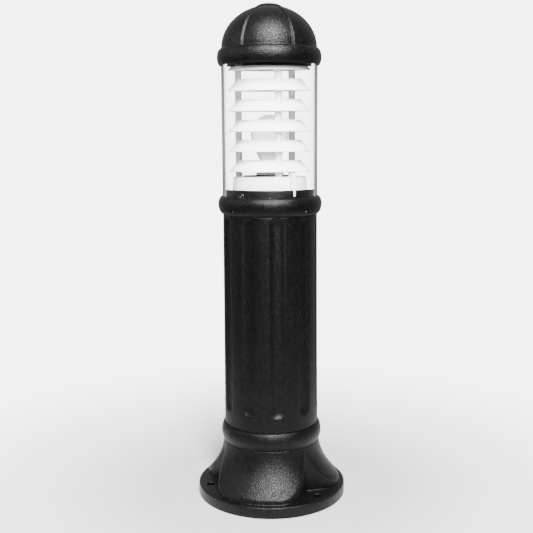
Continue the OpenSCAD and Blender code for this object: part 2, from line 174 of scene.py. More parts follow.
def rod_loop(r, z0, z1, edge=0.0):
    """The loop of a plain rod with rounded edges."""
    return rounded([(0, z0, 0), (r, z0, edge), (r, z1, edge), (0, z1, 0)], 3)


def ring_loop(r_out, r_in, z0, z1, edge=0.3):
    return rounded([(r_in, z0, edge), (r_out, z0, edge), (r_out, z1, edge), (r_in, z1, edge)], 3)


def prism(sides, r, z0, z1, turn=0.0):
    """A straight prism with a regular outline."""
    return loft(lambda t: [(0, z0), (r, z0), (r, z1), (0, z1)], even_turns(sides) + turn)


def box_mesh(size, centre):
    bm = bmesh.new()
    bmesh.ops.create_cube(bm, size=1.0)
    bmesh.ops.scale(bm, vec=Vector(size) * MM, verts=bm.verts)
    bmesh.ops.translate(bm, vec=Vector(centre) * MM, verts=bm.verts)
    return bm


def moved(bm, matrix):
    bmesh.ops.transform(bm, matrix=matrix, verts=bm.verts)
    return bm


def shifted(x, y, z):
    return Matrix.Translation(Vector((x, y, z)) * MM)


def place(r, turn, z=0.0):
    """The matrix of a spot at radius r and angle turn, with its X pointing outwards."""
    return Matrix.Rotation(math.radians(turn), 4, "Z") @ shifted(r, 0, z)


# Lays what stands along Z down along X
TO_X = Matrix.Rotation(math.pi / 2, 4, "Y")


def joined(parts):
    """One bmesh that holds several, as separate solids."""
    whole = bmesh.new()
    for part in parts:
        spare = bpy.data.meshes.new("spare")
        part.to_mesh(spare)
        part.free()
        whole.from_mesh(spare)
        bpy.data.meshes.remove(spare)
    return whole


def around(make, count, turn, r=0.0, z=0.0):
    return joined([moved(make(), place(r, turn + 360 / count * i, z)) for i in range(count)])


def raw_object(bm, name="tool"):
    mesh = bpy.data.meshes.new(name)
    bm.to_mesh(mesh)
    bm.free()
    obj = bpy.data.objects.new(name, mesh)
    bpy.context.scene.collection.objects.link(obj)
    return obj


def combine(bm, tool, operation):
    """bm with tool added to it or cut from it, as one closed solid."""
    body, other = raw_object(bm), raw_object(tool)
    modifier = body.modifiers.new("combine", "BOOLEAN")
    modifier.operation = operation
    modifier.solver = "EXACT"
    modifier.use_self = operation == "UNION"
    modifier.object = other
    bpy.context.view_layer.update()
    result = bpy.data.meshes.new_from_object(body.evaluated_get(bpy.context.evaluated_depsgraph_get()))
    out = bmesh.new()
    out.from_mesh(result)
    bpy.data.meshes.remove(result)
    for spare in (body, other):
        mesh = spare.data
        bpy.data.objects.remove(spare)
        bpy.data.meshes.remove(mesh)
    return out


def cut(bm, tool):
    return combine(bm, tool, "DIFFERENCE")


def fused(bm, tool):
    return combine(bm, tool, "UNION")


def piece(node, bm, material, sharp=35.0):
    """A finished piece that replaces one CAD node, rides on its body and has its name."""
    obj = raw_object(bm, node + "_look")
    mesh = obj.data
    mesh.polygons.foreach_set("use_smooth", np.ones(len(mesh.polygons), bool))
    mesh.set_sharp_from_angle(angle=math.radians(sharp))
    mesh.materials.clear()
    mesh.materials.append(material)
    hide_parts(node)
    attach(obj, frame["nodes"][node]["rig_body"])
    return obj


# ---------- materials ----------

class Nodes:
    """A material's node tree, with short calls for its nodes."""

    def __init__(self, name):
        self.material = bpy.data.materials.new(name)
        self.material.use_nodes = True
        self.tree = self.material.node_tree
        self.shader = self.tree.nodes["Principled BSDF"]
        self.output = self.tree.nodes["Material Output"]
        self.place = self.add("ShaderNodeTexCoord").outputs["Object"]

    def add(self, kind, **values):
        node = self.tree.nodes.new(kind)
        for key, value in values.items():
            setattr(node, key, value)
        return node

    def link(self, source, target):
        self.tree.links.new(source, target)

    def noise(self, scale, detail=2.0, rough=0.5, stretch=(1, 1, 1)):
        mapping = self.add("ShaderNodeMapping")
        mapping.inputs["Scale"].default_value = stretch
        self.link(self.place, mapping.inputs["Vector"])
        node = self.add("ShaderNodeTexNoise")
        node.inputs["Scale"].default_value = scale
        node.inputs["Detail"].default_value = detail
        node.inputs["Roughness"].default_value = rough
        self.link(mapping.outputs["Vector"], node.inputs["Vector"])
        return node.outputs["Fac"]

    def cells(self, scale):
        node = self.add("ShaderNodeTexVoronoi")
        node.inputs["Scale"].default_value = scale
        self.link(self.place, node.inputs["Vector"])
        return node.outputs["Distance"]

    def ramp(self, value, low_at, low_value, high_at, high_value):
        node = self.add("ShaderNodeMapRange")
        node.inputs["From Min"].default_value = low_at
        node.inputs["From Max"].default_value = high_at
        node.inputs["To Min"].default_value = low_value
        node.inputs["To Max"].default_value = high_value
        self.link(value, node.inputs["Value"])
        return node.outputs["Result"]

    def math(self, operation, a, b):
        node = self.add("ShaderNodeMath", operation=operation)
        for socket, value in zip(node.inputs, (a, b)):
            if isinstance(value, (int, float)):
                socket.default_value = value
            else:
                self.link(value, socket)
        return node.outputs["Value"]

    def blend(self, factor, colour_a, colour_b):
        node = self.add("ShaderNodeMix", data_type="RGBA")
        self.link(factor, node.inputs["Factor"])
        for socket, value in ((node.inputs[6], colour_a), (node.inputs[7], colour_b)):
            if isinstance(value, tuple):
                socket.default_value = (*value, 1.0)
            else:
                self.link(value, socket)
        return node.outputs[2]

    def colour(self, value):
        self.link(value, self.shader.inputs["Base Color"])

    def rough(self, value):
        self.link(value, self.shader.inputs["Roughness"])

    def bump(self, height, distance_mm, strength=1.0):
        node = self.add("ShaderNodeBump")
        node.inputs["Distance"].default_value = distance_mm * MM
        node.inputs["Strength"].default_value = strength
        self.link(height, node.inputs["Height"])
        self.link(node.outputs["Normal"], self.shader.inputs["Normal"])


def textured_resin():
    """Black moulded resin with a fine pebbled grain, a low sheen and painted glints: the grain's peaks are
    coloured brighter.
    """
    m = Nodes("black_resin")
    grain = m.noise(420, 3.0, 0.55)
    pebble = m.ramp(m.cells(640), 0.0, 1.0, 0.7, 0.0)
    height = m.math("ADD", m.math("MULTIPLY", grain, 0.7), m.math("MULTIPLY", pebble, 0.45))
    m.bump(height, 0.6, 1.0)
    # Painted glints: where the grain peaks, the colour turns brighter to stand in for sparkling highlights.
    painted_glint_mask = m.ramp(grain, 0.5, 0.0, 0.64, 1.0)
    patch = m.ramp(m.noise(14, 4.0, 0.6), 0.35, 0.0, 0.7, 1.0)
    base = m.blend(painted_glint_mask, (0.0001, 0.0001, 0.00015), (0.0046, 0.0048, 0.0058))
    m.colour(m.blend(m.math("MULTIPLY", patch, 0.5), base, (0.0002, 0.0002, 0.0003)))
    m.rough(m.ramp(patch, 0.0, 0.32, 1.0, 0.38))
    m.shader.inputs["Specular IOR Level"].default_value = 0.19
    return m.material


def satin_plastic(name, dark, light, rough=0.4, grain=0.05, specular=0.5):
    """Smooth moulded plastic with faint flow marks."""
    m = Nodes(name)
    flow = m.noise(30, 4.0, 0.6, (1, 1, 2.5))
    m.colour(m.blend(m.ramp(flow, 0.3, 0.0, 0.7, 1.0), dark, light))
    m.rough(m.ramp(flow, 0.3, rough - 0.05, 0.7, rough + 0.05))
    m.bump(m.noise(900, 2.0), grain, 0.5)
    m.shader.inputs["Specular IOR Level"].default_value = specular
    return m.material


def metal(name, dark, light, rough=0.3, stretch=(1, 1, 1), grain=0.04):
    """Metal with fine marks, which stretch draws out into brushing."""
    m = Nodes(name)
    marks = m.noise(500, 3.0, 0.6, stretch)
    m.colour(m.blend(marks, dark, light))
    m.rough(m.ramp(marks, 0.2, rough - 0.08, 0.8, rough + 0.12))
    m.bump(marks, grain, 0.6)
    m.shader.inputs["Metallic"].default_value = 1.0
    return m.material


def clear_plastic():
    """Clear tube: it bends light for the eye and lets the lamps' light straight through."""
    m = Nodes("clear_polycarbonate")
    haze = m.noise(18, 3.0, 0.6, (1, 1, 0.3))
    m.colour(m.blend(haze, (0.97, 0.985, 0.98), (0.99, 1.0, 0.995)))
    m.rough(m.ramp(haze, 0.3, 0.0, 0.75, 0.035))
    m.shader.inputs["Transmission Weight"].default_value = 1.0
    m.shader.inputs["IOR"].default_value = 1.2
    through = m.add("ShaderNodeBsdfTransparent")
    through.inputs["Color"].default_value = (0.97, 0.98, 0.98, 1.0)
    choose = m.add("ShaderNodeMixShader")
    path = m.add("ShaderNodeLightPath")
    m.link(path.outputs["Is Shadow Ray"], choose.inputs["Fac"])
    m.link(m.shader.outputs["BSDF"], choose.inputs[1])
    m.link(through.outputs["BSDF"], choose.inputs[2])
    m.link(choose.outputs["Shader"], m.output.inputs["Surface"])
    return m.material


def opal_glass():
    """Milky glass that lets the light behind it through, spread out."""
    m = Nodes("opal_glass")
    cloud = m.noise(26, 3.0)
    m.colour(m.blend(cloud, (0.93, 0.93, 0.915), (0.97, 0.97, 0.96)))
    m.rough(m.ramp(cloud, 0.3, 0.5, 0.7, 0.6))
    m.shader.inputs["Transmission Weight"].default_value = 0.8
    m.shader.inputs["IOR"].default_value = 1.2
    return m.material


def rubber():
    m = Nodes("gasket_rubber")
    dust = m.noise(160, 4.0, 0.6)
    m.colour(m.blend(dust, (0.012, 0.012, 0.012), (0.03, 0.03, 0.03)))
    m.rough(m.ramp(dust, 0.3, 0.7, 0.7, 0.85))
    m.bump(dust, 0.05, 0.5)
    return m.material


def sleeve():
    m = Nodes("wire_sleeve")
    weave = m.noise(700, 2.0, 0.5, (1, 1, 0.4))
    m.colour(m.blend(weave, (0.34, 0.07, 0.03), (0.5, 0.12, 0.06)))
    m.rough(m.ramp(weave, 0.3, 0.55, 0.7, 0.7))
    m.bump(weave, 0.1, 0.6)
    return m.material


RESIN = textured_resin()
WHITE = satin_plastic("white_louvre", (0.84, 0.84, 0.83), (0.9, 0.9, 0.895), 0.42, 0.03)
NYLON = satin_plastic("black_nylon", (0.012, 0.012, 0.013), (0.02, 0.02, 0.021), 0.42, 0.05)
CREAM = satin_plastic("terminal_plastic", (0.72, 0.7, 0.62), (0.8, 0.78, 0.7), 0.45, 0.03)
CERAMIC = satin_plastic("glazed_ceramic", (0.8, 0.79, 0.74), (0.87, 0.86, 0.82), 0.18, 0.04, 0.6)
VITRITE = satin_plastic("vitrite_glass", (0.012, 0.01, 0.014), (0.02, 0.018, 0.024), 0.12, 0.02, 0.6)
STAINLESS = metal("stainless_steel", (0.55, 0.56, 0.57), (0.68, 0.69, 0.7), 0.28)
ZINC = metal("zinc_plate", (0.56, 0.57, 0.57), (0.7, 0.7, 0.69), 0.36, (1, 1, 0.2), 0.05)
BRASS = metal("plain_brass", (0.66, 0.47, 0.2), (0.8, 0.62, 0.32), 0.3)
NICKEL = metal("nickel_plate", (0.68, 0.67, 0.64), (0.8, 0.79, 0.77), 0.22)
CLEAR = clear_plastic()
OPAL = opal_glass()
RUBBER = rubber()
SLEEVE = sleeve()


# ---------- camera, light and floor ----------

def make_camera():
    """The camera's height and distance in metres, and its turns in degrees, fit the object's own ellipses."""
    distance, height = 1.3942, 0.5985
    tilt, aside, roll = 8.811, 0.2615, -0.38
    data = bpy.data.cameras.new("camera")
    data.sensor_width = 36.0
    data.lens = 58.0
    camera = bpy.data.objects.new("camera", data)
    bpy.context.scene.collection.objects.link(camera)
    turn = Matrix.Rotation(math.radians(VIEW_TURN), 4, "Z")
    pan = Matrix.Rotation(math.radians(VIEW_TURN + aside), 4, "Z")
    nod = Matrix.Rotation(math.radians(90 - tilt), 4, "X")
    spin = Matrix.Rotation(math.radians(roll), 4, "Z")
    camera.matrix_world = Matrix.Translation(turn @ Vector((0, -distance, height))) @ (pan @ nod @ spin)
    bpy.context.scene.camera = camera


def area_light(name, place_at, target, size, power):
    data = bpy.data.lights.new(name, "AREA")
    data.shape = "RECTANGLE"
    data.size, data.size_y = size
    data.energy = power
    light = bpy.data.objects.new(name, data)
    bpy.context.scene.collection.objects.link(light)
    light.location = place_at
    light.rotation_euler = (Vector(target) - Vector(place_at)).to_track_quat("-Z", "Y").to_euler()


def make_world():
    """A studio that looks white, in itself and through clear parts, but lights the object only dimly."""
    world = bpy.data.worlds.new("studio")
    world.use_nodes = True
    tree = world.node_tree
    background = tree.nodes["Background"]
    place_of = tree.nodes.new("ShaderNodeTexCoord").outputs["Generated"]
    facing = tree.nodes.new("ShaderNodeVectorMath")
    facing.operation = "DOT_PRODUCT"
    behind = math.radians(VIEW_TURN)
    facing.inputs[1].default_value = (-math.sin(behind), math.cos(behind), 0.4)
    tree.links.new(place_of, facing.inputs[0])
    seen_strength, darkest, brightest = 6.0, 0.05, 0.5
    dim = tree.nodes.new("ShaderNodeMapRange")
    for name, value in (("From Min", 0.0), ("From Max", 1.0), ("To Min", darkest), ("To Max", brightest)):
        dim.inputs[name].default_value = value
    tree.links.new(facing.outputs["Value"], dim.inputs["Value"])
    path = tree.nodes.new("ShaderNodeLightPath")
    bounces = tree.nodes.new("ShaderNodeMath")
    bounces.operation = "ADD"
    tree.links.new(path.outputs["Diffuse Depth"], bounces.inputs[0])
    tree.links.new(path.outputs["Glossy Depth"], bounces.inputs[1])
    strength = tree.nodes.new("ShaderNodeMapRange")
    strength.inputs["To Min"].default_value = seen_strength
    tree.links.new(bounces.outputs["Value"], strength.inputs["Value"])
    tree.links.new(dim.outputs["Result"], strength.inputs["To Max"])
    tree.links.new(strength.outputs["Result"], background.inputs["Strength"])
    background.inputs["Color"].default_value = (0.98, 0.985, 1.0, 1.0)
    bpy.context.scene.world = world


def make_stage():
    """A round pale floor that fades out into the studio's white."""
    floor_r, floor_z = 3000, -0.5
    disc = loft(lambda turn: [(0, floor_z), (floor_r, floor_z)], even_turns(96), closed=False)
    floor = raw_object(disc, "floor")
    m = Nodes("floor_paper")
    speck = m.noise(40, 3.0)
    m.colour(m.blend(speck, (0.53, 0.527, 0.515), (0.57, 0.567, 0.555)))
    m.rough(m.ramp(speck, 0.0, 0.75, 1.0, 0.85))
    away = m.add("ShaderNodeVectorMath", operation="LENGTH")
    m.link(m.place, away.inputs[0])
    fade = m.ramp(away.outputs["Value"], 0.2, 0.0, 0.9, 1.0)
    clear = m.add("ShaderNodeBsdfTransparent")
    choose = m.add("ShaderNodeMixShader")
    m.link(fade, choose.inputs["Fac"])
    m.link(m.shader.outputs["BSDF"], choose.inputs[1])
    m.link(clear.outputs["BSDF"], choose.inputs[2])
    m.link(choose.outputs["Shader"], m.output.inputs["Surface"])
    floor.data.materials.append(m.material)


def make_lights():
    """A tall key light at the right and a weak square one at the left, in metres and watts."""
    middle = (0, 0, 0.45)
    area_light("key", (0.62, -1.45, 1.95), middle, (0.5, 1.3), 290)
    area_light("fill", (-2.3, -1.2, 1.6), middle, (0.9, 0.9), 22)


make_world()
make_camera()
make_stage()
make_lights()


# ---------- foot and column ----------

def soft_least(a, b, soft):
    """The smaller of two radii, with a rounded edge where they meet."""
    return -soft * np.logaddexp(-a / soft, -b / soft)


def off_nearest(turn, first, step):
    """Degrees from turn to the nearest of the directions that start at first and repeat every step."""
    return (turn - first + step / 2) % step - step / 2


def lobe_outline(turn):
    """The skirt's outline seen from above: three lobes with flat sides and rounded corners."""
    lip_r, half_w, corner_r, soft = 114.0, 69.5, 40.0, 0.8
    off = math.radians(abs(off_nearest(turn, FRONT, 120)))
    reach = lip_r - corner_r
    corner_turn = math.asin((half_w - corner_r) / reach)
    if off < corner_turn:
        return lip_r
    if math.sin(off) * reach * math.cos(corner_turn) < math.cos(off) * half_w:
        past = off - corner_turn
        return reach * math.cos(past) + math.sqrt(corner_r ** 2 - (reach * math.sin(past)) ** 2)
    here = half_w / math.sin(off)
    there = half_w / math.sin(math.radians(120) - off)
    return soft * np.logaddexp(here / soft, there / soft)


def flare_r(z):
    """The skirt's trumpet flare, from the neck down to the lip."""
    neck_r, slope, spread_at, spread = 79.6, 0.125, 50, 14.1
    down = SKIRT_NECK_Z - z
    return neck_r + slope * down + spread * (down / spread_at) ** 2.15


def eased(first, last, steps):
    """Heights from first to last that lie closer together near both ends."""
    return [first + (last - first) * (1 - math.cos(math.pi * i / steps)) / 2 for i in range(steps + 1)]


def bead(z, foot_r, proud, centre, below, above, power=0.75):
    """The radius of a bead's outline at height z."""
    t = (z - centre) / (above if z > centre else below)
    return foot_r + proud * max(1 - t * t, 0) ** power


def make_base():
    """Flange, lobed skirt and bead in one hollow moulding, with an inner shelf under the column."""
    foot_r, foot_t, neck_z, top_z = radius("base"), 18.0, SKIRT_NECK_Z, high("base")
    socket_r, shelf_r, shelf_top, cavity_r0, cavity_r1 = 73.1, 54, 97, 75, 71
    skirt_foot, edge_soft = foot_t + 1.6, 0.75
    bead_foot_r, bead_proud, bead_z, bead_h = 76.6, 6.5, 107.6, 17.4
    levels = [skirt_foot + (neck_z - skirt_foot) * i / 40 for i in range(41)]
    bead_levels = eased(neck_z + 0.6, top_z - 0.8, 20)
    outer_foot = rounded([(foot_r - 20, 0, 0), (foot_r, 0, 0.8), (foot_r, foot_t, 3.2),
                          (foot_r - 5, foot_t, 0)])[1:]
    hollow = rounded([(cavity_r0, top_z, 0), (socket_r, top_z, 0.6), (socket_r, shelf_top, 0.5),
                      (shelf_r, shelf_top, 0.5), (shelf_r, neck_z, 0.5), (cavity_r1, neck_z, 2),
                      (cavity_r1, 80, 0), (cavity_r0, foot_t, 0), (cavity_r0, 0, 0.8)], 3)

    def profile(turn):
        plan = lobe_outline(turn)
        wall = [(soft_least(flare_r(z), plan, edge_soft), z) for z in levels]
        foot = wall[0][0]
        fillet = [(foot + 1.6, foot_t), (foot + 0.8, foot_t + 0.35), (foot + 0.25, foot_t + 0.9)]
        lip = [(bead(z, bead_foot_r, bead_proud, bead_z, bead_h, bead_h), z) for z in bead_levels]
        return outer_foot + fillet + wall + lip + hollow

    bm = loft(profile, even_turns(360))
    hole_r, rim = 6.25, 0.8
    hole = [(0, -1), (hole_r, -1), (hole_r, foot_t - rim), (hole_r + rim, foot_t),
            (hole_r + rim, foot_t + 1), (0, foot_t + 1)]
    bm = cut(bm, around(lambda: lathe(hole, 48), 3, POCKET_TURN, BOLT_CIRCLE_R))
    screw_way = rod_loop(2.1, neck_z - 1, shelf_top + 1)
    bm = cut(bm, around(lambda: lathe(screw_way, 24), 3, FRONT, BASE_SCREW_R))
    piece("base", bm, RESIN)


def flute_floor(turn, z, surface_r):
    """The radius of a flute's floor, cut by a round-ended cutter, or None outside the flutes."""
    width, depth, low_z, high_z = 24.0, 3.6, 148.0, 468.0
    cutter = (width ** 2 / 4 + depth ** 2) / (2 * depth)
    chord = math.sqrt(surface_r ** 2 - width ** 2 / 4)
    centre = chord - depth + cutter
    off = math.radians(off_nearest(turn, FLUTE_TURN, 36))
    past = max(low_z + width / 2 - z, z - (high_z - width / 2), 0)
    inside = cutter ** 2 - past ** 2 - (centre * math.sin(off)) ** 2
    return centre * math.cos(off) - math.sqrt(inside) if inside > 0 else None


def make_column():
    """A tapered tube with round-ended flutes, a spigot at each end and screw bosses inside."""
    low_z, top_z, shoulder_z, foot_z = low("column"), high("column"), 469.5, high("base")
    flute_levels = [*np.linspace(145, 162, 18), *np.linspace(170, 446, 29), *np.linspace(454, 468, 15)]
    levels = [foot_z + 0.8, foot_z + 4, foot_z + 12, *flute_levels, shoulder_z - 0.6]
    foot_r, taper, soft = 77.6, 1.3, 0.45

    def profile(turn):
        wall = []
        for z in levels:
            r = foot_r - taper * (z - foot_z) / (shoulder_z - foot_z)
            floor = flute_floor(turn, z, r)
            if floor is not None:
                r = soft_least(r, floor, soft)
            wall.append((r, z))
        edge = [(73, foot_z), (77.0, foot_z), (77.5, foot_z + 0.3)]
        spigot = [(76.0, shoulder_z), (72.7, shoulder_z), (72.7, top_z - 0.8), (71.9, top_z), (66.6, top_z),
                  (66, top_z - 0.6), (66, shoulder_z), (67, shoulder_z - 4), (67, low_z + 0.5), (67.5, low_z),
                  (72.2, low_z), (73, low_z + 0.8)]
        return edge + wall + spigot

    bm = loft(profile, even_turns(360))
    boss_r, boss_z = 6, 457
    low_boss = rod_loop(boss_r, low_z + 0.2, low_z + 25)
    low_hole = rod_loop(2, low_z - 1, low_z + 18)
    high_boss = rod_loop(boss_r, boss_z, low("lamp_bracket"))
    high_hole = rod_loop(1.9, boss_z + 11, boss_z + 33)
    bosses = joined([around(lambda: lathe(low_boss, 32), 3, FRONT, BASE_SCREW_R),
                     around(lambda: lathe(high_boss, 32), 3, FRONT + 60, BRACKET_SCREW_R)])
    holes = joined([around(lambda: lathe(low_hole, 24), 3, FRONT, BASE_SCREW_R),
                    around(lambda: lathe(high_hole, 24), 3, FRONT + 60, BRACKET_SCREW_R)])
    piece("column", cut(fused(bm, bosses), holes), RESIN)


def thread_wave(depth, z, pitch, turn):
    """How far a round thread's ridge stands out at height z and angle turn."""
    return depth * math.cos(2 * math.pi * z / pitch - math.radians(turn))


def screw(r, length, head_r, head_h):
    """A pan-head screw along -Z with the underside of its head at z 0, and a hexagon socket in the head."""
    loop = rounded([(0, -length, 0), (r - 0.4, -length, 0), (r, -length + 0.8, 0), (r, 0, 0),
                    (head_r, 0, 0.25), (head_r, head_h * 0.45, 0.9), (head_r * 0.62, head_h, 0.8),
                    (0, head_h, 0)])
    return cut(lathe(loop, 40), prism(6, head_r * 0.48, head_h * 0.35, head_h + 1))


def make_column_screws():
    turned = Matrix.Rotation(math.pi, 4, "X")
    bm = around(lambda: moved(screw(1.95, 20, 4, 2.9), turned), 3, FRONT, BASE_SCREW_R, SKIRT_NECK_Z)
    piece("column_screws", bm, STAINLESS)


# ---------- lamp bracket, holder and wiring ----------

def make_bracket():
    """A steel disc with a raised hat for the lampholder, and holes for screws, gland and leads."""
    z0, hat_z, t = low("lamp_bracket"), high("lamp_bracket"), BRACKET_T
    plate_r, hat_r, wire_way_r, wall = 65.4, 26, 8.5, 2
    loop = rounded([(hat_r - wall, z0, 1), (plate_r, z0, 0.4), (plate_r, z0 + t, 0.6), (hat_r, z0 + t, 1.5),
                    (hat_r, hat_z, 2.2), (wire_way_r, hat_z, 0.4), (wire_way_r, hat_z - wall, 0.4),
                    (hat_r - wall, hat_z - wall, 1.4)], 4)
    gland_way = lathe(rod_loop(8.1, z0 - 1, z0 + t + 1), 40)
    plate_hole, hat_hole = rod_loop(2, z0 - 1, z0 + t + 1), rod_loop(1.6, hat_z - 3, hat_z + 1)
    tools = [around(lambda: lathe(plate_hole, 24), 3, FRONT + 60, BRACKET_SCREW_R),
             around(lambda: lathe(hat_hole, 24), 2, 0, HOLDER_SCREW_R),
             moved(gland_way, place(GLAND_CIRCLE_R, GLAND_TURN))]
    for y in WIRE_YS:
        tools.append(moved(lathe(rod_loop(2, 0, 40), 24), shifted(0, y, z0 + t + 5) @ TO_X))
    piece("lamp_bracket", cut(lathe(loop, 160), joined(tools)), ZINC)
    heads = around(lambda: screw(1.85, 16, 3.6, 2.6), 3, FRONT + 60, BRACKET_SCREW_R, z0 + t)
    piece("bracket_screws", heads, STAINLESS)


def make_gland():
    """The gland's ribbed cap nut, hexagon and thread, and the lock nut above the bracket."""
    z0, top_z = low("lamp_bracket"), low("lamp_bracket") + BRACKET_T
    low_z, high_z = low("cable_gland"), high("cable_gland")
    bore_r, pitch, spot = 4.5, 1.5, place(GLAND_CIRCLE_R, GLAND_TURN)

    def cap_nut(turn):
        rib = 0.35 * math.cos(math.radians(turn) * 18)
        return [(bore_r, low_z), (8.4, low_z), (9.2, low_z + 0.6), (9.6 + rib, low_z + 2.5),
                (9.6 + rib, z0 - 4.8), (9.0, z0 - 4), (bore_r, z0 - 4)]

    def thread(turn):
        rows = np.linspace(top_z + 0.6, high_z - 0.6, 22)
        ridge = [(7.75 + thread_wave(0.22, z, pitch, turn), z) for z in rows]
        return [(bore_r, z0), (8, z0), (8, top_z + 0.3), *ridge, (7.2, high_z), (4.9, high_z),
                (bore_r, high_z - 0.4)]

    collar = cut(prism(6, 12, z0 - 4, z0), lathe(rod_loop(bore_r, z0 - 6, z0 + 2), 48))
    bm = joined([loft(cap_nut, even_turns(144)), collar, loft(thread, even_turns(96))])
    piece("cable_gland", moved(bm, spot), NYLON)
    nut = cut(prism(6, 11.5, top_z, top_z + 4), lathe(rod_loop(8.1, z0, z0 + 12), 48))
    piece("gland_nut", moved(nut, spot), NYLON)


def make_terminals():
    """A moulded block with a tower for each screw, and the slotted screws."""
    z0 = low("terminal_block")
    lowest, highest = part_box("terminal_block")
    width, length = (highest[0] - lowest[0]) / MM, (highest[1] - lowest[1]) / MM
    body_h, wire_z, screw_z = 9, z0 + 5, z0 + 8
    block = box_mesh((width, length, body_h), (TERMINAL_X, 0, z0 + body_h / 2))
    towers = [box_mesh((width - 3, 4.8, 6), (TERMINAL_X, y, z0 + 10)) for y in TERMINAL_YS]
    bm = fused(block, joined(towers))
    corners = [e for e in bm.edges if e.calc_face_angle(0) > 1]
    bmesh.ops.bevel(bm, geom=corners, offset=0.35 * MM, segments=2, affect="EDGES", profile=0.5)
    tools = []
    screws = []
    for y in TERMINAL_YS:
        spot = shifted(TERMINAL_X, y, 0)
        tools.append(moved(lathe(rod_loop(1.5, 0, 20), 24), shifted(TERMINAL_X - 10, y, wire_z) @ TO_X))
        tools.append(moved(lathe(rod_loop(1.7, screw_z, screw_z + 6), 24), spot))
        head = lathe(rod_loop(1.6, screw_z, screw_z + 4, 0.3), 32)
        screws.append(moved(cut(head, box_mesh((6, 0.6, 2), (0, 0, screw_z + 4))), spot))
    piece("terminal_block", cut(bm, joined(tools)), CREAM)
    piece("terminal_screws", joined(screws), BRASS)


def tube_along(points, r, sides=16):
    """A round tube along points, with closed ends."""
    bm = bmesh.new()
    rings = []
    points = [Vector(p) for p in points]
    side = Vector((0, 1, 0))
    for i, p in enumerate(points):
        along = (points[min(i + 1, len(points) - 1)] - points[max(i - 1, 0)]).normalized()
        up = along.cross(side).normalized()
        rings.append([bm.verts.new((p + r * (math.cos(a) * side + math.sin(a) * up)) * MM)
                      for a in np.linspace(0, 2 * math.pi, sides, endpoint=False)])
    for one, two in zip(rings, rings[1:]):
        for i in range(sides):
            j = (i + 1) % sides
            bm.faces.new((one[i], one[j], two[j], two[i]))
    bm.faces.new(rings[0])
    bm.faces.new(rings[-1])
    bmesh.ops.recalc_face_normals(bm, faces=bm.faces)
    return bm


def make_wires():
    """Each lead runs level from the terminal block, bends up and ends in the holder."""
    wire_r, bend = 1.2, 6.0
    z0, top_z = low("lamp_wires") + wire_r, high("lamp_wires")
    parts = []
    for y in WIRE_YS:
        arc = [(WIRE_X + bend - bend * math.sin(a), y, z0 + bend - bend * math.cos(a))
               for a in np.linspace(0, math.pi / 2, 12)]
        parts.append(tube_along([(34, y, z0), (20, y, z0), *arc, (WIRE_X, y, top_z)], wire_r))
    piece("lamp_wires", joined(parts), SLEEVE)


def make_holder():
    """The ceramic body and the two screws that hold it on the hat."""
    z0, z1, seat_z, floor_t = low("holder_body"), high("holder_body"), low("holder_plate"), 3
    body_r, neck_r, well_r = 21, 19, 14.5
    loop = rounded([(0, z0, 0), (body_r - 0.8, z0, 0.8), (body_r, z0 + floor_t, 0), (body_r, seat_z, 0.6),
                    (neck_r, seat_z, 0.3), (neck_r, z1, 1.4), (well_r, z1, 0.8),
                    (well_r, z0 + floor_t, 0.5), (0, z0 + floor_t, 0)])
    holes = [around(lambda: lathe(rod_loop(1.6, z0 - 1, z0 + 4), 24), 2, 0, HOLDER_SCREW_R)]
    for y in WIRE_YS:
        holes.append(moved(lathe(rod_loop(1.5, z0 - 1, z0 + 2), 24), shifted(WIRE_X, y, 0)))
    piece("holder_body", cut(lathe(loop, 128), joined(holes)), CERAMIC)
    heads = around(lambda: screw(1.45, 8, 2.2, 1.55), 2, 0, HOLDER_SCREW_R, z0 + floor_t)
    piece("holder_screws", heads, STAINLESS)


def make_holder_metal():
    """The threaded shell and the contact inside the holder."""
    z0, z1 = low("holder_shell"), high("holder_shell")
    rows = np.linspace(z0 + 0.6, z1 - 0.6, 40)

    def shell(turn):
        wave = [thread_wave(0.3, z, LAMP_THREAD_PITCH, turn) for z in rows]
        inner = [(13.8 + w, z) for w, z in zip(wave, rows)]
        outer = [(14.1 + w, z) for w, z in zip(wave[::-1], rows[::-1])]
        return [(14.0, z0), *inner, (14.0, z1), (14.3, z1), *outer, (14.3, z0)]

    piece("holder_shell", loft(shell, even_turns(96)), BRASS, 50)
    z0, z1 = low("holder_contact"), high("holder_contact")
    loop = rounded([(0, z0, 0), (5, z0, 0), (5, z0 + 0.8, 0.2), (2.6, z1 - 0.4, 0.8), (1.6, z1, 0.4),
                    (0, z1, 0)])
    piece("holder_contact", lathe(loop, 48), BRASS)


def make_holder_plate():
    """The round plate under the lamp and the ribbed ring that clamps it."""
    z0, z1, r = low("holder_plate"), high("holder_plate"), radius("holder_plate")
    loop = rounded([(19.3, z0, 0.3), (r - 2, z0, 0.6), (r, z0 + 0.3, 0.3), (r, z1, 0.8), (24.5, z1, 0.3),
                    (24, z1 - 0.5, 0.2), (19.3, z1 - 0.5, 0.3)])
    piece("holder_plate", lathe(loop, 160), NYLON)
    z0, z1, r = low("shade_ring"), high("shade_ring"), radius("shade_ring")

    def grip(turn):
        rib = r - 0.45 * (0.5 + 0.5 * math.cos(math.radians(turn) * 24)) ** 2
        return [(19.1, z0), (rib - 0.8, z0), (rib, z0 + 0.8), (rib, z1 - 1.2), (rib - 1.2, z1),
                (19.6, z1), (19.1, z1 - 0.5)]

    piece("shade_ring", loft(grip, even_turns(240)), CERAMIC)


